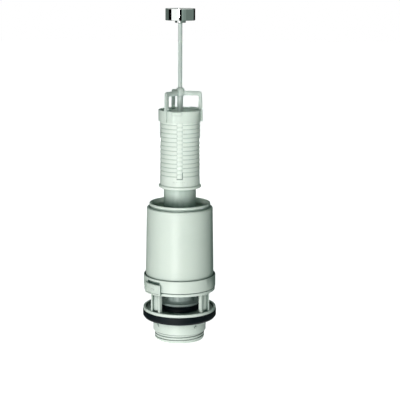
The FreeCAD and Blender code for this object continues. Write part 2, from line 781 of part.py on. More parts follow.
def make_height_sleeve():
    """Mould the ribbed sleeve with its scale strip and snap tongue, and the ring that seals it."""
    body = new_body("height_sleeve")
    land_r = d.tube_r + d.sleeve_gap
    groove_out = land_r + d.sleeve_ring_r * 1.9
    groove_level = SLEEVE_BOTTOM + d.bead_thick
    groove_half = d.sleeve_ring_r * 1.2
    land_top = groove_level + d.bead_thick
    bead_r = SLEEVE_R + d.bead_proud
    turn_outline(body, "sleeve_section", [
        (land_r, SLEEVE_BOTTOM),
        (bead_r, SLEEVE_BOTTOM, 1.4),
        (bead_r, SLEEVE_BOTTOM + d.bead_thick, 1.4),
        (SLEEVE_R, SLEEVE_BOTTOM + d.bead_thick),
        (SLEEVE_R, SLEEVE_TOP),
        (SLEEVE_BORE, SLEEVE_TOP),
        (SLEEVE_BORE, land_top + d.bead_thick / 2),
        (land_r, land_top),
        (land_r, groove_level + groove_half),
        (groove_out, groove_level + groove_half),
        (groove_out, groove_level - groove_half),
        (land_r, groove_level - groove_half),
    ])
    outside = SLEEVE_R + d.rib_depth
    rib = turn_outline(body, "rib_groove", [
        (SLEEVE_R - d.rib_depth, BAND_TOP, 0.15),
        (SLEEVE_R - d.rib_taper, BAND_TOP - d.rib_notch / 2),
        (SLEEVE_R, BAND_TOP - d.rib_slope),
        (outside, BAND_TOP - d.rib_slope),
        (outside, BAND_TOP + d.rib_notch / 2),
        (SLEEVE_R, BAND_TOP + d.rib_notch / 2),
    ], cut=True)
    repeat_up(body, "rib_grooves", [rib], d.rib_pitch, d.rib_count)
    strip_bottom = BAND_TOP - d.strip_tail
    strip_floor = SLEEVE_R - d.strip_depth
    strip_top = BAND_TOP + d.rib_pitch * 12.4
    front = 270.0
    turn_outline(body, "strip", ring_corners(
        strip_floor, outside, strip_bottom, strip_top), front, d.strip_sweep, cut=True)
    tooth_bottom = BAND_TOP + d.rib_pitch / 2 - d.tooth_height / 2
    tooth = turn_outline(body, "tooth", [
        (strip_floor - d.tooth_proud, tooth_bottom),
        (strip_floor + d.tooth_proud, tooth_bottom),
        (strip_floor + d.tooth_proud, tooth_bottom + d.tooth_height / 2),
        (strip_floor - d.tooth_proud, tooth_bottom + d.tooth_height),
    ], front, d.tooth_sweep)
    repeat_up(body, "teeth", [tooth], d.rib_pitch, d.rib_count - 1)
    turn_outline(body, "tongue_slot_below", ring_corners(
        SLEEVE_BORE - d.rib_depth, outside, strip_bottom - d.tongue_slot, strip_bottom),
        front, d.strip_sweep, cut=True)
    slot_sweep = d.strip_sweep / 8
    turn_outline(body, "tongue_slot_beside", ring_corners(
        SLEEVE_BORE - d.rib_depth, outside, strip_bottom - d.tongue_slot, BAND_TOP + d.rib_pitch),
        d.strip_sweep / 2 + front, slot_sweep, cut=True)
    ring = o_ring("sleeve_o_ring", groove_out - d.sleeve_ring_r, d.sleeve_ring_r, groove_level)
    return [body, ring]


def make_cage_bracket():
    """Mould the bracket: a collar on the sleeve, three bent arms and a hub with a cone."""
    body = new_body("cage_bracket", d.arm_turn)
    turn_outline(body, "collar", [
        (COLLAR_BORE, COLLAR_BOTTOM),
        (COLLAR_R, COLLAR_BOTTOM, 0.6),
        (COLLAR_R, COLLAR_TOP, 0.9),
        (COLLAR_BORE, COLLAR_TOP),
    ])
    arm_foot_r = COLLAR_R + d.arm_foot_proud
    arm_top_r = arm_foot_r - d.arm_lean
    arm_in = arm_top_r - d.arm_thick
    arm = side_sketch(body, "arm_outline", [
        (0, BAR_BOTTOM),
        (arm_in, BAR_BOTTOM, 1.2),
        (arm_in, COLLAR_TOP - 0.6),
        (COLLAR_BORE + d.collar_gap, COLLAR_TOP - d.arm_chamfer),
        (COLLAR_BORE + d.collar_gap, COLLAR_BOTTOM),
        (arm_foot_r, COLLAR_BOTTOM, 0.4),
        (arm_top_r, BAR_TOP, d.bend_r),
        (0, BAR_TOP),
    ])
    arm_pad = pad_outline(body, "arm", arm, d.arm_width, midplane=True)
    repeat_round(body, "arms", [arm_pad], 3)
    bore_r = ROD_SLEEVE_R + d.collar_gap
    hub_r = bore_r + d.hub_wall
    turn_outline(body, "hub", [
        (0, BAR_BOTTOM - d.hub_drop),
        (hub_r, BAR_BOTTOM - d.hub_drop, 0.5),
        (hub_r, BAR_TOP),
        (bore_r + d.cone_wall, CONE_TOP),
        (0, CONE_TOP),
    ])
    turn_outline(body, "hub_bore", ring_corners(
        0, bore_r, BAR_BOTTOM - d.hub_drop * 2, CONE_TOP + d.hub_drop), cut=True)
    turn_outline(body, "rim_tab", [
        (COLLAR_BORE, COLLAR_TOP - 1.2),
        (COLLAR_R, COLLAR_TOP - 1.2),
        (COLLAR_R, COLLAR_TOP + d.tab_height, 0.5),
        (COLLAR_BORE, COLLAR_TOP + d.tab_height),
    ], d.tab_turn - d.arm_turn, d.tab_sweep)
    pad_middle = COLLAR_TOP - d.pad_height * 0.8
    turn_outline(body, "front_pad", [
        (COLLAR_R - d.pad_proud, pad_middle - d.pad_height / 2),
        (COLLAR_R + d.pad_proud, pad_middle - d.pad_height / 2, 0.3),
        (COLLAR_R + d.pad_proud, pad_middle + d.pad_height / 2, 0.3),
        (COLLAR_R - d.pad_proud, pad_middle + d.pad_height / 2),
    ], d.pad_turn - d.arm_turn, d.pad_sweep)
    return body


def make_rod():
    """Make the pull rod and the sleeve that grips it under the hub."""
    hub_bottom = BAR_BOTTOM - d.hub_drop
    step_r = ROD_SLEEVE_R + d.rod_sleeve_step
    sleeve = new_body("rod_sleeve")
    turn_outline(sleeve, "rod_sleeve_section", [
        (ROD_BORE, hub_bottom - d.rod_sleeve_drop),
        (ROD_SLEEVE_R, hub_bottom - d.rod_sleeve_drop, 0.3),
        (ROD_SLEEVE_R, hub_bottom - d.rod_sleeve_step_height),
        (step_r, hub_bottom - d.rod_sleeve_step_height),
        (step_r, hub_bottom),
        (ROD_SLEEVE_R, hub_bottom),
        (ROD_SLEEVE_R, CONE_TOP - d.rod_gap),
        (ROD_BORE, CONE_TOP - d.rod_gap),
    ])
    rod = new_body("pull_rod")
    rod_bottom = hub_bottom - d.rod_tail
    turn_outline(rod, "rod_section", [
        (0, rod_bottom),
        (d.rod_r, rod_bottom, 0.6),
        (d.rod_r, KNOB_BOTTOM + d.rod_in_knob, 0.4),
        (0, KNOB_BOTTOM + d.rod_in_knob),
    ])
    return [sleeve, rod]


def make_knob():
    """Make the knob: chromed hub and shell, a filler core, and the satin face let into it."""
    core_bottom = KNOB_BOTTOM + d.knob_floor
    face_bottom = KNOB_TOP - d.face_thick
    inside = d.knob_r - d.knob_wall
    hub = new_body("knob_hub")
    turn_outline(hub, "knob_hub_section", [
        (ROD_BORE, KNOB_HUB_BOTTOM),
        (KNOB_NECK_R + d.knob_hub_lap, KNOB_HUB_BOTTOM, 0.6),
        (KNOB_NECK_R + d.knob_hub_lap, KNOB_BOTTOM),
        (KNOB_NECK_R, KNOB_BOTTOM),
        (KNOB_NECK_R, KNOB_BOTTOM + d.knob_neck_height),
        (ROD_BORE, KNOB_BOTTOM + d.knob_neck_height),
    ])
    shell = new_body("knob_shell")
    shell_bore = KNOB_NECK_R + d.slip_gap
    turn_outline(shell, "knob_shell_section", [
        (shell_bore, KNOB_BOTTOM),
        (d.knob_r, KNOB_BOTTOM, d.knob_round),
        (d.knob_r, KNOB_TOP, d.knob_round),
        (inside, KNOB_TOP),
        (inside, core_bottom),
        (shell_bore, core_bottom),
    ])
    core = new_body("knob_core")
    neck_top = KNOB_BOTTOM + d.knob_neck_height
    rod_top = KNOB_BOTTOM + d.rod_in_knob + d.rod_gap
    turn_outline(core, "knob_core_section", [
        (shell_bore, core_bottom),
        (inside - d.slip_gap, core_bottom),
        (inside - d.slip_gap, face_bottom),
        (0, face_bottom),
        (0, rod_top),
        (ROD_BORE, rod_top),
        (ROD_BORE, neck_top),
        (shell_bore, neck_top),
    ])
    face_r = inside - d.face_gap
    face = new_body("knob_face")
    turn_outline(face, "knob_face_section", [
        (0, face_bottom),
        (face_r, face_bottom),
        (face_r, KNOB_TOP - d.face_bevel),
        (face_r - d.face_edge, KNOB_TOP),
        (0, KNOB_TOP),
    ])
    return [hub, shell, core, face]


def check_and_write(pieces):
    """Stop on any failed object, then write each piece's solid to its own file."""
    DOC.recompute()
    for thing in DOC.Objects:
        if {"Invalid", "Error"} & set(thing.State):
            raise RuntimeError(f"{thing.Name} failed: {thing.State}")
    for piece in pieces:
        shape = piece.Shape
        if shape.isNull() or not shape.isValid() or len(shape.Solids) != 1:
            raise RuntimeError(f"{piece.Label} has no single valid solid")
    os.makedirs("parts", exist_ok=True)
    for piece in pieces:
        piece.Shape.exportStep(f"parts/{piece.Label}.step")
        box = piece.Shape.BoundBox
        print(f"{piece.Label:16s} z {box.ZMin:8.3f} to {box.ZMax:8.3f}"
              f"  r {max(box.XMax, -box.XMin):7.3f}  volume {piece.Shape.Volume:10.1f}")


def main():
    """Build every piece of the valve from the bottom up and write it."""
    pieces = [make_valve_base()]
    pieces += make_seals_on_spigot()
    pieces.append(make_bell_housing())
    pieces.append(make_locking_ring())
    pieces += make_stem()
    pieces += make_overflow_tube()
    pieces += make_height_sleeve()
    pieces.append(make_cage_bracket())
    pieces += make_rod()
    pieces += make_knob()
    check_and_write(pieces)


main()
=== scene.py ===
"""Dressed scene of a pull-up flush valve for a toilet cistern.

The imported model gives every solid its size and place. This script gives them their finishes,
rounds their edges, adds the fine moulded detail, and sets a small white studio round them.
All lengths are in metres, and the valve's axis is Z with -Y to the front.
"""
from __future__ import annotations

import bpy
import json
import logging
import math
from dataclasses import dataclass, field
from enum import Enum
from mathutils import Matrix, Vector
from typing import Callable

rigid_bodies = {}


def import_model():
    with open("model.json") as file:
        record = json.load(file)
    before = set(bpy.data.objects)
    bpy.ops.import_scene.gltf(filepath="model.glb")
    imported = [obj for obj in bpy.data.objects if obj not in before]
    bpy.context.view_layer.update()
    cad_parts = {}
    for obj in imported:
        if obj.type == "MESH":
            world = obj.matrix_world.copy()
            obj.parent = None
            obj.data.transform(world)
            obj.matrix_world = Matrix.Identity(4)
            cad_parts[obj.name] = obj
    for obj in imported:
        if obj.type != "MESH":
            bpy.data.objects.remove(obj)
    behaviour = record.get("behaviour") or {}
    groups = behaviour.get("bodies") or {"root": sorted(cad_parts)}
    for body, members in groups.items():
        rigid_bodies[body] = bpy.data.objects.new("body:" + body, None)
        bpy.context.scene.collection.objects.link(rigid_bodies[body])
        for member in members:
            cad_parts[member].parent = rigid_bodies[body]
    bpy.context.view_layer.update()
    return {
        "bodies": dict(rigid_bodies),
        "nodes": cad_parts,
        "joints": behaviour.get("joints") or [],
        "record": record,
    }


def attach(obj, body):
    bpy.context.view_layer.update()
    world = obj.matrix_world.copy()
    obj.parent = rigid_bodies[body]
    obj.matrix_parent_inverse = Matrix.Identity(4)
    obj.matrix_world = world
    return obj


LOG = logging.getLogger("flush_valve")
MM = 0.001
WELD_GAP = 0.00001
SOFT_EDGE_ANGLE = math.radians(28)
BLOCK_SMOOTH_ANGLE = math.radians(40)
RIDGE_SMOOTH_ANGLE = math.radians(35)
Triple = tuple[float, float, float]
Colour = Triple


class Slot(Enum):
    """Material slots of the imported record."""

    WHITE = "white_plastic"
    GREY = "grey_plastic"
    RUBBER = "black_rubber"
    FOAM = "float_foam"
    CHROME = "chrome"
    SATIN = "satin_metal"


class Bodies(Enum):
    """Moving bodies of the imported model."""

    BASE = "base"
    BELL = "bell"
    VALVE = "valve"
    HEAD = "head"
    PULL = "pull"


class NodeSheet:
    """A material's node tree with short calls to add and join nodes."""

    def __init__(self, name: str) -> None:
        """Start an empty material with one surface shader.

        Args:
            name: The material's name.
        """
        self.material = bpy.data.materials.new(name)
        self.material.use_nodes = True
        self.tree = self.material.node_tree
        self.shader = self.tree.nodes["Principled BSDF"]
        self.place = self.add("ShaderNodeTexCoord").outputs["Object"]

    def add(self, kind: str, **settings: object) -> bpy.types.Node:
        """Add a node and set its plain properties.

        Args:
            kind: Blender's name for the node type.
            settings: Properties of the node by name.

        Returns:
            The new node.
        """
        node = self.tree.nodes.new(kind)
        for name, value in settings.items():
            setattr(node, name, value)
        return node

    def join(self, output: bpy.types.NodeSocket, target: bpy.types.NodeSocket) -> None:
        """Link an output to an input."""
        self.tree.links.new(output, target)

    def noise(self, scale: float, detail: float = 3.0, stretch: Triple = (1.0, 1.0, 1.0),
              roughness: float = 0.5) -> bpy.types.NodeSocket:
        """Add a noise pattern in object space.

        Args:
            scale: Features per metre.
            detail: Octaves of the noise.
            stretch: Factors on the three axes.
            roughness: Weight of the finer octaves.

        Returns:
            The noise factor.
        """
        mapping = self.add("ShaderNodeMapping")
        mapping.inputs["Scale"].default_value = stretch
        self.join(self.place, mapping.inputs["Vector"])
        pattern = self.add("ShaderNodeTexNoise")
        pattern.inputs["Scale"].default_value = scale
        pattern.inputs["Detail"].default_value = detail
        pattern.inputs["Roughness"].default_value = roughness
        self.join(mapping.outputs["Vector"], pattern.inputs["Vector"])
        return pattern.outputs["Fac"]

    def spread(self, factor: bpy.types.NodeSocket, low: float, high: float,
               from_low: float = 0.3, from_high: float = 0.7) -> bpy.types.NodeSocket:
        """Map a factor to another range.

        Args:
            factor: The value to map.
            low: Result at from_low.
            high: Result at from_high.
            from_low: Start of the input range.
            from_high: End of the input range.

        Returns:
            The mapped value.
        """
        ranger = self.add("ShaderNodeMapRange")
        for name, value in (("From Min", from_low), ("From Max", from_high),
                            ("To Min", low), ("To Max", high)):
            ranger.inputs[name].default_value = value
        self.join(factor, ranger.inputs["Value"])
        return ranger.outputs["Result"]

    def blend(self, factor: bpy.types.NodeSocket, first: object, second: object,
              way: str = "MIX") -> bpy.types.NodeSocket:
        """Mix two colours, each a plain colour or a socket.

        Args:
            factor: How much of the second shows.
            first: Colour or socket at factor 0.
            second: Colour or socket at factor 1.
            way: Blend type.

        Returns:
            The mixed colour.
        """
        mix = self.add("ShaderNodeMix", data_type="RGBA", blend_type=way)
        self.join(factor, mix.inputs["Factor"])
        for value, target in ((first, mix.inputs["A"]), (second, mix.inputs["B"])):
            if isinstance(value, tuple):
                target.default_value = (*value, 1.0)
            else:
                self.join(value, target)
        return mix.outputs["Result"]

    def crevice_shade_mask(self, reach: float) -> bpy.types.NodeSocket:
        """Return how deep a point sits in a groove, seam or corner, which sets where shade is
        painted.

        Args:
            reach: How near the other wall has to be, in metres.

        Returns:
            0 in the open and 1 in the depth of a narrow groove.
        """
        shade = self.add("ShaderNodeAmbientOcclusion", samples=8)
        shade.inputs["Distance"].default_value = reach
        return self.spread(shade.outputs["AO"], 1.0, 0.0, 0.35, 0.95)

    def height(self, low: float, high: float) -> bpy.types.NodeSocket:
        """Return 0 below one level and 1 above another.

        Args:
            low: Level where it starts to rise, in metres.
            high: Level where it reaches 1.

        Returns:
            The share by height.
        """
        parts = self.add("ShaderNodeSeparateXYZ")
        self.join(self.place, parts.inputs["Vector"])
        return self.spread(parts.outputs["Z"], 0.0, 1.0, low, high)

    def bump(self, height: bpy.types.NodeSocket, depth: float, strength: float,
             under: bpy.types.NodeSocket | None = None) -> bpy.types.NodeSocket:
        """Turn a height pattern into a normal.

        Args:
            height: The pattern.
            depth: Depth in metres.
            strength: How strongly it shows.
            under: A normal that it lies on.

        Returns:
            The bumped normal.
        """
        node = self.add("ShaderNodeBump")
        node.inputs["Distance"].default_value = depth
        node.inputs["Strength"].default_value = strength
        self.join(height, node.inputs["Height"])
        if under is not None:
            self.join(under, node.inputs["Normal"])
        return node.outputs["Normal"]


@dataclass(frozen=True)
class MouldedPlastic:
    """Injection-moulded plastic: cloudy colour, faint flow lines and a fine tooled grain.

    The groove colour is painted shade, laid in grooves, seams and corners by ambient occlusion, and
    an optional darker colour is painted shade above a set height.
    """

    name: str
    light: Colour
    dark: Colour
    groove: Colour
    roughness: float = 0.36
    grain: float = 900.0
    grain_depth: float = 0.00004
    glow: float = 0.12
    crevice_shade_reach: float = 0.0025
    sheen: float = 0.32
    painted_upper_shade: Colour | None = None
    painted_shade_level: float = 0.0
    painted_shade_blend: float = 2 * MM
    cloud_scale: float = 26.0
    cloud_share: float = 0.55
    flow_scale: float = 34.0
    flow_stretch: Triple = (1.0, 1.0, 0.16)
    flow_share: float = 0.22
    flow_depth: float = 0.0002
    flow_strength: float = 0.12
    grain_strength: float = 0.35
    ior: float = 1.5
    glow_tint: Colour = (1.0, 1.0, 0.9)
    glow_reach: float = 0.0025

    def build(self) -> bpy.types.Material:
        """Return the finished material."""
        sheet = NodeSheet(self.name)
        shader = sheet.shader
        clouds = sheet.noise(self.cloud_scale, 4.0)
        flow = sheet.noise(self.flow_scale, 2.0, self.flow_stretch)
        base = sheet.blend(sheet.spread(clouds, 0.0, self.cloud_share), self.light, self.dark)
        body = sheet.blend(sheet.spread(flow, 0.0, self.flow_share), base, self.dark)
        # Painted shade: a darker colour above a set height, where less light falls.
        if self.painted_upper_shade is not None:
            height = sheet.height(self.painted_shade_level, self.painted_shade_level + self.painted_shade_blend)
            body = sheet.blend(height, body, self.painted_upper_shade)
        # Painted shade: the groove colour darkens grooves, seams and corners.
        sheet.join(sheet.blend(sheet.crevice_shade_mask(self.crevice_shade_reach), body, self.groove),
                   shader.inputs["Base Color"])
        sheet.join(sheet.spread(clouds, self.roughness - 0.04, self.roughness + 0.05),
                   shader.inputs["Roughness"])
        grain = sheet.bump(sheet.noise(self.grain, 2.0), self.grain_depth, self.grain_strength)
        sheet.join(sheet.bump(flow, self.flow_depth, self.flow_strength, grain),
                   shader.inputs["Normal"])
        shader.inputs["IOR"].default_value = self.ior
        shader.inputs["Specular IOR Level"].default_value = self.sheen
        shader.inputs["Subsurface Weight"].default_value = self.glow
        shader.inputs["Subsurface Radius"].default_value = self.glow_tint
        shader.inputs["Subsurface Scale"].default_value = self.glow_reach
        return sheet.material


@dataclass(frozen=True)
class MouldedRubber:
    """Black moulded rubber with a dull bloom and a fine pebble."""

    name: str
    deep: Colour
    bloom: Colour
    roughness: float = 0.5
    sheen: float = 0.12
    patch_scale: float = 70.0
    pebble_scale: float = 1300.0
    pebble_depth: float = 0.00005
    pebble_strength: float = 0.5

    def build(self) -> bpy.types.Material:
        """Return the finished material."""
        sheet = NodeSheet(self.name)
        shader = sheet.shader
        patches = sheet.noise(self.patch_scale, 5.0)
        bloom_share = sheet.spread(patches, 0.0, 1.0, 0.42, 0.75)
        sheet.join(sheet.blend(bloom_share, self.deep, self.bloom), shader.inputs["Base Color"])
        sheet.join(sheet.spread(patches, self.roughness - 0.06, self.roughness + 0.12),
                   shader.inputs["Roughness"])
        pebble = sheet.noise(self.pebble_scale, 3.0)
        sheet.join(sheet.bump(pebble, self.pebble_depth, self.pebble_strength),
                   shader.inputs["Normal"])
        shader.inputs["Specular IOR Level"].default_value = self.sheen
        return sheet.material


@dataclass(frozen=True)
class PolishedChrome:
    """Bright chrome plate with the faintest polishing haze."""

    name: str
    tint: Colour
    roughness: float = 0.045
    haze_scale: float = 160.0
    haze_tint: float = 0.93

    def build(self) -> bpy.types.Material:
        """Return the finished material."""
        sheet = NodeSheet(self.name)
        shader = sheet.shader
        haze = sheet.noise(self.haze_scale, 4.0)
        shader.inputs["Metallic"].default_value = 1.0
        dull = tuple(part * self.haze_tint for part in self.tint)
        sheet.join(sheet.blend(sheet.spread(haze, 0.0, 1.0), self.tint, dull),
                   shader.inputs["Base Color"])
        sheet.join(sheet.spread(haze, self.roughness - 0.004, self.roughness + 0.006),
                   shader.inputs["Roughness"])
        return sheet.material


@dataclass(frozen=True)
class SatinMetal:
    """Pearl-blasted chrome: a bright speckled grain that scatters the light."""

    name: str
    light: Colour
    dark: Colour
    roughness: float = 0.36
    metallic: float = 0.85
    grain_scale: float = 1500.0
    grain_depth: float = 0.00012
    grain_strength: float = 0.6
    coarse_scale: float = 620.0
    coarse_share: float = 0.4

    def build(self) -> bpy.types.Material:
        """Return the finished material."""
        sheet = NodeSheet(self.name)
        shader = sheet.shader
        grain = sheet.noise(self.grain_scale, 3.0, roughness=0.7)
        coarse = sheet.noise(self.coarse_scale, 2.0)
        shader.inputs["Metallic"].default_value = self.metallic
        speckle = sheet.blend(sheet.spread(grain, 0.0, 1.0, 0.35, 0.65), self.dark, self.light)
        coarse_part = sheet.spread(coarse, 0.0, self.coarse_share)
        sheet.join(sheet.blend(coarse_part, speckle, self.dark), shader.inputs["Base Color"])
        sheet.join(sheet.spread(grain, self.roughness - 0.08, self.roughness + 0.1),
                   shader.inputs["Roughness"])
        sheet.join(sheet.bump(grain, self.grain_depth, self.grain_strength),
                   shader.inputs["Normal"])
        return sheet.material


# Each plastic finish's third colour is painted shade in its grooves, seams and corners.
FINISHES = {
    Slot.WHITE: MouldedPlastic("white_moulded_plastic", (0.79, 0.86, 0.79), (0.72, 0.81, 0.74),
                               (0.30, 0.40, 0.35)),
    Slot.GREY: MouldedPlastic("grey_moulded_plastic", (0.58, 0.65, 0.62), (0.50, 0.57, 0.54),
                              (0.16, 0.21, 0.19)),
    Slot.RUBBER: MouldedRubber("black_seal_rubber", (0.002, 0.005, 0.007), (0.006, 0.011, 0.014)),
    Slot.FOAM: MouldedPlastic("float_foam", (0.62, 0.68, 0.64), (0.5, 0.57, 0.53),
                              (0.30, 0.38, 0.35), roughness=0.7, grain=380.0,
                              grain_depth=0.0003, glow=0.05),
    Slot.CHROME: PolishedChrome("polished_chrome", (0.86, 0.89, 0.87)),
    Slot.SATIN: SatinMetal("satin_chrome_face", (0.78, 0.83, 0.80), (0.40, 0.46, 0.43)),
}

# Painted light: the sleeve's white is lighter than the plain white; its groove colour is painted
# shade in the rib grooves.
SLEEVE_LIT_WHITE = MouldedPlastic("sleeve_lit_white_plastic", (0.86, 0.92, 0.86), (0.80, 0.88, 0.81),
                              (0.30, 0.40, 0.35), crevice_shade_reach=0.0013)
# Painted shade: the stem's dark grey stands for the shade inside the base's window.
STEM_SHADE_GREY = MouldedPlastic("stem_shade_grey_plastic", (0.38, 0.45, 0.43), (0.30, 0.37, 0.35),
                           (0.08, 0.12, 0.11), glow=0.05)
# Painted light and shade: the base's white is lighter than the plain white, and its near-black
# groove colour with a long reach paints the shade in its dish, under the seal and round the posts.
BASE_WHITE = MouldedPlastic("base_white_plastic", (0.86, 0.93, 0.87), (0.80, 0.88, 0.82),
                            (0.05, 0.10, 0.08), crevice_shade_reach=0.022, sheen=0.24)
# Painted shade: the bell's and ring's darker groove colours with a longer reach deepen the shade
# under the rim, at the ring's top and round the latch block; the ring's white is a touch lighter as
# painted light.
BELL_WHITE = MouldedPlastic("bell_white_plastic", (0.79, 0.86, 0.79), (0.72, 0.81, 0.74),
                            (0.14, 0.22, 0.19), crevice_shade_reach=0.014)
RING_WHITE = MouldedPlastic("ring_white_plastic", (0.80, 0.87, 0.80), (0.74, 0.82, 0.76),
                            (0.10, 0.17, 0.15), crevice_shade_reach=0.015)
# Painted shade: the tube's white is darker than the plain white, and its groove colour with a long
# reach darkens it towards the bell's rim.
TUBE_SHADED_WHITE = MouldedPlastic("tube_shaded_white_plastic", (0.71, 0.79, 0.73), (0.65, 0.74, 0.68),
                            (0.22, 0.31, 0.27), crevice_shade_reach=0.035)
# Painted shade: the bracket's white is darker than the plain white, and darker still above its
# band, where less light reaches the arms.
BRACKET_SHADED_WHITE = MouldedPlastic("bracket_shaded_white_plastic", (0.75, 0.82, 0.76), (0.69, 0.77, 0.71),
                               (0.22, 0.31, 0.27), roughness=0.55, glow=0.0,
                               painted_upper_shade=(0.57, 0.64, 0.60), painted_shade_level=0.2745)


@dataclass
class Workshop:
    """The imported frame, the finishes and the ways to place a piece."""

    frame: dict
    finishes: dict[Slot, bpy.types.Material] = field(default_factory=dict)

    def __post_init__(self) -> None:
        """Build each finish once."""
        for slot, finish in FINISHES.items():
            self.finishes[slot] = finish.build()
        slots = {part["node"]: part["material_slot"] for part in self.frame["record"]["subparts"]}
        self.slot_of = {node: Slot(name) for node, name in slots.items()}

    def dress(self, node: str, rounding: float = 0.0002,
              finish: bpy.types.Material | None = None) -> bpy.types.Object:
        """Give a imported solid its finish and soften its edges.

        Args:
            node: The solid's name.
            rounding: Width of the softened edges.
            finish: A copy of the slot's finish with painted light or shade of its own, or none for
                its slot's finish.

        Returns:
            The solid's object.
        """
        piece = self.frame["nodes"][node]
        material = finish or self.finishes[self.slot_of[node]]
        piece.data.materials.clear()
        piece.data.materials.append(material)
        weld = piece.modifiers.new("join_facets", "WELD")
        weld.merge_threshold = WELD_GAP
        if rounding:
            bevel = piece.modifiers.new("soften_edges", "BEVEL")
            bevel.width = rounding
            bevel.segments = 2
            bevel.limit_method = "ANGLE"
            bevel.angle_limit = SOFT_EDGE_ANGLE
            bevel.harden_normals = True
        LOG.info("dressed %s as %s", node, material.name)
        return piece

    def adopt(self, piece: bpy.types.Object, body: Bodies, slot: Slot,
              finish: bpy.types.Material | None = None) -> None:
        """Fix a new piece to a body and give it a finish.

        Args:
            piece: The finished piece.
            body: The body that it rides on.
            slot: The material slot that it takes its finish from.
            finish: A copy of the slot's finish with painted light or shade of its own, or none for
                the slot's finish.
        """
        piece.data.materials.clear()
        piece.data.materials.append(finish or self.finishes[slot])
        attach(piece, body.value)
        LOG.info("added %s to %s", piece.name, body.value)


class Bench:
    """Edit-mode tools for shaping a new piece."""

    @staticmethod
    def clear() -> None:
        """Deselect every object."""
        bpy.ops.object.select_all(action="DESELECT")

    @staticmethod
    def take(piece: bpy.types.Object) -> None:
        """Make one piece the only selected one."""
        Bench.clear()
        piece.select_set(True)
        bpy.context.view_layer.objects.active = piece

    @staticmethod
    def settle(piece: bpy.types.Object) -> None:
        """Move a piece's place, turn and scale into its mesh."""
        Bench.take(piece)
        bpy.ops.object.transform_apply(location=True, rotation=True, scale=True)

    @staticmethod
    def block(name: str, centre: Triple, size: Triple, bevel: float) -> bpy.types.Object:
        """Add a block with rounded edges.

        Args:
            name: The piece's name.
            centre: Its middle.
            size: Its lengths along X, Y and Z.
            bevel: Radius of its edges.

        Returns:
            The block, settled at the origin.
        """
        Bench.clear()
        bpy.ops.mesh.primitive_cube_add(size=1.0, location=centre)
        piece = bpy.context.object
        piece.name = name
        piece.scale = size
        Bench.settle(piece)
        bpy.ops.object.mode_set(mode="EDIT")
        bpy.ops.mesh.select_all(action="SELECT")
        bpy.ops.mesh.bevel(offset=bevel, segments=2, affect="EDGES")
        bpy.ops.object.mode_set(mode="OBJECT")
        bpy.ops.object.shade_smooth_by_angle(angle=BLOCK_SMOOTH_ANGLE)
        return piece

    @staticmethod
    def pick(piece: bpy.types.Object, test: Callable[[Vector], bool]) -> None:
        """Select the vertices whose place passes a test, in and back to edit mode."""
        bpy.ops.mesh.select_all(action="DESELECT")
        bpy.ops.object.mode_set(mode="OBJECT")
        for vertex in piece.data.vertices:
            vertex.select = test(vertex.co)
        bpy.ops.object.mode_set(mode="EDIT")

    @staticmethod
    def copies(piece: bpy.types.Object, places: list[Matrix]) -> bpy.types.Object:
        """Lay copies of a piece at more places and join them to it.

        Args:
            piece: The piece that was modelled once.
            places: Where each copy goes, from the piece's own place.

        Returns:
            The joined piece.
        """
        parts = [piece]
        for place in places:
            copy = piece.copy()
            copy.data = piece.data.copy()
            copy.data.transform(place)
            bpy.context.scene.collection.objects.link(copy)
            parts.append(copy)
        Bench.take(piece)
        for part in parts:
            part.select_set(True)
        bpy.ops.object.join()
        return piece


def turned(degrees: float) -> Matrix:
    """Return a turn about the valve's axis."""
    return Matrix.Rotation(math.radians(degrees), 4, "Z")


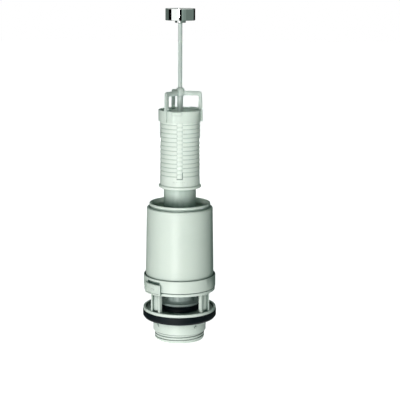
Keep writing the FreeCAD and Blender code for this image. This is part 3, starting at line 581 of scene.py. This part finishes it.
@dataclass
class BaseMoulding:
    """The base with its seat and basket, the seal and slip washer, and the spigot's thread."""

    shop: Workshop
    root_r: float = 28.9 * MM
    root_sink: float = 0.3 * MM
    crest_r: float = 29.8 * MM
    pitch: float = 3.3 * MM
    first_level: float = 0.3 * MM
    turns: int = 3
    start_turn: float = 155.0
    ridge_height: float = 2.9 * MM
    crest_height: float = 1.8 * MM
    steps: int = 120
    end_sink: float = 0.95 * MM

    def build(self) -> None:
        """Dress the nodes and add the thread."""
        base_white = BASE_WHITE.build()
        self.shop.dress("valve_base", 0.25 * MM, base_white)
        self.shop.dress("base_seal", 0.3 * MM)
        self.shop.dress("seal_washer")
        self.add_thread(base_white)

    def add_thread(self, finish: bpy.types.Material) -> None:
        """Wind the thread's ridge round the spigot, in the base's own finish."""
        depth = self.crest_r - self.root_r + self.root_sink
        middle = self.crest_r - depth / 2
        Bench.clear()
        bpy.ops.mesh.primitive_plane_add(
            size=1.0, location=(middle, 0.0, self.first_level + self.ridge_height / 2),
            rotation=(math.pi / 2, 0.0, 0.0))
        ridge = bpy.context.object
        ridge.name = "spigot_thread_ridge"
        ridge.scale = (depth, self.ridge_height, 1.0)
        Bench.settle(ridge)
        bpy.ops.object.mode_set(mode="EDIT")
        Bench.pick(ridge, lambda spot: spot.x > middle)
        bpy.ops.transform.resize(value=(1.0, 1.0, self.crest_height / self.ridge_height))
        bpy.ops.mesh.select_all(action="SELECT")
        bpy.ops.mesh.delete(type="ONLY_FACE")
        bpy.ops.object.mode_set(mode="OBJECT")
        screw = ridge.modifiers.new("wind", "SCREW")
        screw.axis = "Z"
        screw.angle = math.tau
        screw.screw_offset = self.pitch
        screw.iterations = self.turns
        screw.steps = self.steps
        screw.render_steps = self.steps
        bpy.ops.object.modifier_apply(modifier=screw.name)
        self.close_ends(ridge)
        ridge.data.transform(turned(self.start_turn))
        bpy.ops.object.shade_smooth_by_angle(angle=RIDGE_SMOOTH_ANGLE)
        self.shop.adopt(ridge, Bodies.BASE, Slot.WHITE, finish)

    def close_ends(self, ridge: bpy.types.Object) -> None:
        """Close both ends of the ridge and sink them into the spigot."""
        count = len(ridge.data.vertices)
        for first in (0, count - 4):
            ends = {tuple(ridge.data.vertices[i].co) for i in range(first, first + 4)}
            bpy.ops.object.mode_set(mode="EDIT")
            Bench.pick(ridge, lambda spot: tuple(spot) in ends)
            bpy.ops.mesh.edge_face_add()
            bpy.ops.transform.translate(value=(-self.end_sink, 0.0, 0.0))
            bpy.ops.object.mode_set(mode="OBJECT")
        bpy.ops.object.mode_set(mode="EDIT")
        bpy.ops.mesh.select_all(action="SELECT")
        bpy.ops.mesh.normals_make_consistent(inside=False)
        bpy.ops.object.mode_set(mode="OBJECT")


@dataclass
class Bell:
    """The bell and its locking ring."""

    shop: Workshop

    def build(self) -> None:
        """Dress the nodes."""
        self.shop.dress("bell_housing", 0.3 * MM, BELL_WHITE.build())
        self.shop.dress("locking_ring", 0.2 * MM, RING_WHITE.build())


@dataclass
class Valve:
    """The stem with its seal, the float and the overflow tube, which lift together."""

    shop: Workshop
    stem_r: float = 15.5 * MM
    rib_low: float = 49.5 * MM
    rib_high: float = 98.5 * MM
    rib_width: float = 1.3 * MM
    rib_proud: float = 0.25 * MM
    rib_depth: float = 1.2 * MM
    rib_edge: float = 0.2 * MM
    rib_count: int = 12

    def build(self) -> None:
        """Dress the nodes and add the stem's ribs."""
        # The stem's dark grey is painted shade.
        stem_shade_grey = STEM_SHADE_GREY.build()
        self.shop.dress("valve_stem", finish=stem_shade_grey)
        self.shop.dress("overflow_tube", finish=TUBE_SHADED_WHITE.build())
        for node in ("flush_seal", "seal_retainer", "float_ring", "float_clip"):
            self.shop.dress(node)
        self.shop.dress("stem_o_ring", 0.0)
        self.add_stem_ribs(stem_shade_grey)

    def add_stem_ribs(self, finish: bpy.types.Material) -> None:
        """Raise slim upright ribs round the stem, in its own finish."""
        middle_r = self.stem_r + self.rib_proud - self.rib_depth / 2
        rib = Bench.block(
            "stem_ribs", (0.0, -middle_r, (self.rib_low + self.rib_high) / 2),
            (self.rib_width, self.rib_depth, self.rib_high - self.rib_low), self.rib_edge)
        turns = [turned(360.0 * index / self.rib_count) for index in range(1, self.rib_count)]
        self.shop.adopt(Bench.copies(rib, turns), Bodies.VALVE, Slot.GREY, finish)


@dataclass
class HeightHead:
    """The ribbed height sleeve with its bracket and the rod's sleeve."""

    shop: Workshop
    sleeve_r: float = 23.4 * MM
    pip_level: float = 192.9 * MM
    pip_width: float = 1.1 * MM
    pip_depth: float = 0.8 * MM
    pip_height: float = 1.3 * MM
    pip_proud: float = 0.22 * MM
    pip_edge: float = 0.18 * MM
    pip_turns: tuple[float, ...] = (-19.0, -14.5, -9.0, -4.0, 2.0, 7.5, 12.5)

    def build(self) -> None:
        """Dress the nodes and add the band's pips."""
        sleeve_lit_white = SLEEVE_LIT_WHITE.build()
        self.shop.dress("height_sleeve", 0.12 * MM, sleeve_lit_white)
        self.shop.dress("sleeve_o_ring", 0.0)
        self.shop.dress("cage_bracket", 0.8 * MM, BRACKET_SHADED_WHITE.build())
        self.shop.dress("rod_sleeve")
        self.add_pips(sleeve_lit_white)

    def add_pips(self, finish: bpy.types.Material) -> None:
        """Raise a row of short pips on the plain band, in the sleeve's finish."""
        middle_r = self.sleeve_r + self.pip_proud - self.pip_depth / 2
        pip = Bench.block("band_pips", (0.0, -middle_r, self.pip_level),
                          (self.pip_width, self.pip_depth, self.pip_height), self.pip_edge)
        pip.data.transform(turned(self.pip_turns[0]))
        turns = [turned(turn - self.pip_turns[0]) for turn in self.pip_turns[1:]]
        self.shop.adopt(Bench.copies(pip, turns), Bodies.HEAD, Slot.WHITE, finish)


@dataclass
class PullKnob:
    """The pull rod and its chromed knob."""

    shop: Workshop

    def build(self) -> None:
        """Dress the nodes."""
        self.shop.dress("pull_rod")
        self.shop.dress("knob_hub", 0.25 * MM)
        self.shop.dress("knob_shell", 0.25 * MM)
        self.shop.dress("knob_core")
        self.shop.dress("knob_face", 0.1 * MM)


@dataclass(frozen=True)
class Lamp:
    """A soft oblong lamp that the camera doesn't see."""

    name: str
    place: Triple
    size: tuple[float, float]
    power: float
    colour: Colour
    aim: Triple = (0.0, 0.0, 0.17)
    spread_deg: float = 180.0
    in_gloss: bool = True

    def set_up(self) -> None:
        """Stand the lamp at its place and point it at its aim."""
        data = bpy.data.lights.new(self.name, "AREA")
        data.shape = "RECTANGLE"
        data.size, data.size_y = self.size
        data.energy = self.power
        data.color = self.colour
        data.spread = math.radians(self.spread_deg)
        lamp = bpy.data.objects.new(self.name, data)
        lamp.visible_camera = False
        lamp.visible_glossy = self.in_gloss
        lamp.location = self.place
        way = Vector(self.aim) - Vector(self.place)
        lamp.rotation_euler = way.to_track_quat("-Z", "Y").to_euler()
        bpy.context.scene.collection.objects.link(lamp)


WARM = (1.0, 1.0, 0.98)
COOL = (0.97, 1.0, 0.99)
LAMPS = (
    Lamp("key_lamp", (-0.38, -1.6, 0.38), (0.4, 0.2), 5.6, WARM),
    Lamp("table_lamp", (-0.54, -2.05, -0.56), (0.56, 1.5), 35.2, WARM),
    Lamp("fill_lamp", (0.95, -1.1, 0.75), (0.1, 0.1), 0.015, COOL, aim=(0.0, 0.0, 0.27),
         spread_deg=10.0, in_gloss=False),
    Lamp("top_lamp", (0.0, 0.1, 1.4), (0.8, 0.8), 0.25, COOL),
    Lamp("back_lamp", (0.1, 1.7, 0.1), (0.8, 0.8), 15.0, COOL, in_gloss=False),
)


@dataclass(frozen=True)
class Card:
    """A card round the valve that shows only in reflections.

    Its two edges are given in degrees to the right of the camera.
    """

    start: float
    end: float
    tint: Colour
    level: float


BLACK = (0.0, 0.0, 0.0)
WHITE = (1.0, 1.0, 1.0)
GREEN = (0.78, 1.0, 0.9)
CARDS = (
    Card(-100.0, -71.0, BLACK, 0.0),
    Card(-71.0, -10.0, WHITE, 1.15),
    Card(-10.0, 12.0, BLACK, 0.0),
    Card(12.0, 24.0, GREEN, 0.36),
    Card(24.0, 46.0, GREEN, 0.27),
    Card(46.0, 128.0, GREEN, 0.2),
    Card(128.0, 180.0, BLACK, 0.0),
    Card(-180.0, -100.0, GREEN, 0.15),
)


@dataclass(frozen=True)
class Studio:
    """Camera, lamps and floor, set as for the catalogue picture."""

    picture_px: float = 400.0
    focal_px: float = 1149.0
    sensor_mm: float = 36.0
    tilt_deg: float = 11.2
    roll_deg: float = 0.35
    camera_side: float = 0.0238
    camera_back: float = 1.331
    camera_up: float = 0.4318
    ambient_tint: Colour = (0.6, 1.0, 0.85)
    ambient_level: float = 0.1
    floor_size: float = 12.0
    floor_tone: Colour = (0.9, 0.9, 0.9)
    floor_glow: float = 0.97
    card_inner: float = 0.07
    card_r: float = 1.9
    card_low: float = 0.002
    card_high: float = 1.4
    card_step_deg: float = 6.0

    def add_camera(self) -> None:
        """Place the camera at the picture's viewing angle."""
        data = bpy.data.cameras.new("catalogue_camera")
        data.sensor_width = self.sensor_mm
        data.lens = data.sensor_width * self.focal_px / self.picture_px
        data.clip_start = 0.01
        camera = bpy.data.objects.new("catalogue_camera", data)
        camera.location = (self.camera_side, -self.camera_back, self.camera_up)
        camera.rotation_euler = (math.radians(90.0 - self.tilt_deg), 0.0, 0.0)
        camera.rotation_euler.rotate_axis("Z", math.radians(self.roll_deg))
        bpy.context.scene.collection.objects.link(camera)
        bpy.context.scene.camera = camera

    @staticmethod
    def is_background(tree: bpy.types.NodeTree) -> bpy.types.NodeSocket:
        """Return 1 for rays that show the background.

        Args:
            tree: The node tree that asks.

        Returns:
            1 for camera, glossy and transmission rays, and 0 for all others.
        """
        path = tree.nodes.new("ShaderNodeLightPath")
        seen = path.outputs["Is Camera Ray"]
        for kind in ("Is Glossy Ray", "Is Transmission Ray"):
            either = tree.nodes.new("ShaderNodeMath")
            either.operation = "MAXIMUM"
            tree.links.new(seen, either.inputs[0])
            tree.links.new(path.outputs[kind], either.inputs[1])
            seen = either.outputs[0]
        return seen

    def add_world(self) -> None:
        """Show a white surround to the camera and to metal, and light the rest gently."""
        world = bpy.data.worlds.new("studio_world")
        bpy.context.scene.world = world
        world.use_nodes = True
        tree = world.node_tree
        tree.nodes.clear()
        white = tree.nodes.new("ShaderNodeBackground")
        white.inputs["Color"].default_value = (*WHITE, 1.0)
        ambient = tree.nodes.new("ShaderNodeBackground")
        ambient.inputs["Color"].default_value = (*self.ambient_tint, 1.0)
        ambient.inputs["Strength"].default_value = self.ambient_level
        mix = tree.nodes.new("ShaderNodeMixShader")
        tree.links.new(Studio.is_background(tree), mix.inputs["Fac"])
        tree.links.new(ambient.outputs[0], mix.inputs[1])
        tree.links.new(white.outputs[0], mix.inputs[2])
        out = tree.nodes.new("ShaderNodeOutputWorld")
        tree.links.new(mix.outputs[0], out.inputs["Surface"])

    def add_floor(self) -> None:
        """Lay a plain white floor that takes a soft shadow and throws none."""
        bpy.ops.mesh.primitive_plane_add(size=self.floor_size)
        floor = bpy.context.object
        floor.name = "studio_floor"
        material = bpy.data.materials.new("studio_floor")
        material.use_nodes = True
        tree = material.node_tree
        shader = tree.nodes["Principled BSDF"]
        shader.inputs["Base Color"].default_value = (*self.floor_tone, 1.0)
        shader.inputs["Roughness"].default_value = 0.9
        shader.inputs["Specular IOR Level"].default_value = 0.0
        glow = tree.nodes.new("ShaderNodeEmission")
        glow.inputs["Color"].default_value = (*WHITE, 1.0)
        share = tree.nodes.new("ShaderNodeMath")
        share.operation = "MULTIPLY"
        share.inputs[1].default_value = self.floor_glow
        tree.links.new(Studio.is_background(tree), share.inputs[0])
        tree.links.new(share.outputs[0], glow.inputs["Strength"])
        add = tree.nodes.new("ShaderNodeAddShader")
        tree.links.new(shader.outputs[0], add.inputs[0])
        tree.links.new(glow.outputs[0], add.inputs[1])
        tree.links.new(add.outputs[0], tree.nodes["Material Output"].inputs["Surface"])
        floor.data.materials.append(material)
        floor.visible_shadow = False

    def add_flag(self, name: str, flag: Card) -> None:
        """Lay one card on the floor round the axis and bend it up at the set's edge.

        Args:
            name: The card's name.
            flag: Its edges, tint and brightness.
        """
        angle = flag.end - flag.start
        steps = max(2, int(angle / self.card_step_deg))
        middle = Vector(((self.card_inner + self.card_r) / 2, 0.0,
                         (self.card_low + self.card_high) / 2))
        Bench.clear()
        bpy.ops.mesh.primitive_plane_add(size=1.0, location=middle,
                                         rotation=(math.pi / 2, 0.0, 0.0))
        card = bpy.context.object
        card.name = name
        card.scale = (self.card_r - self.card_inner, self.card_high - self.card_low, 1.0)
        Bench.settle(card)
        bpy.ops.object.mode_set(mode="EDIT")
        Bench.pick(card, lambda spot: spot.x < middle.x and spot.z > middle.z)
        bpy.ops.mesh.delete(type="VERT")
        bpy.ops.mesh.select_all(action="SELECT")
        bpy.ops.mesh.spin(steps=steps, angle=math.radians(angle), center=(0.0, 0.0, 0.0),
                          axis=(0.0, 0.0, 1.0))
        bpy.ops.object.mode_set(mode="OBJECT")
        card.data.transform(turned(flag.end - 90.0))
        material = bpy.data.materials.new(name)
        material.use_nodes = True
        tree = material.node_tree
        tree.nodes.clear()
        glow = tree.nodes.new("ShaderNodeEmission")
        glow.inputs["Color"].default_value = (*flag.tint, 1.0)
        glow.inputs["Strength"].default_value = flag.level
        out = tree.nodes.new("ShaderNodeOutputMaterial")
        tree.links.new(glow.outputs[0], out.inputs["Surface"])
        card.data.materials.append(material)
        card.visible_camera = False
        card.visible_diffuse = False
        card.visible_shadow = False
        card.visible_transmission = False

    def build(self) -> None:
        """Set up the whole studio."""
        self.add_camera()
        for lamp in LAMPS:
            lamp.set_up()
        self.add_world()
        self.add_floor()
        for index, card in enumerate(CARDS):
            self.add_flag(f"flag_{index}", card)
        bpy.context.scene.view_settings.view_transform = "Standard"


def main() -> None:
    """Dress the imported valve, add the fine detail and set the studio."""
    logging.basicConfig(level=logging.INFO, format="%(name)s: %(message)s")
    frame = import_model()
    bpy.ops.object.select_all(action="DESELECT")
    shop = Workshop(frame)
    for assembly in (BaseMoulding(shop), Bell(shop), Valve(shop), HeightHead(shop), PullKnob(shop)):
        assembly.build()
    Studio().build()


if __name__ == "__main__":
    main()
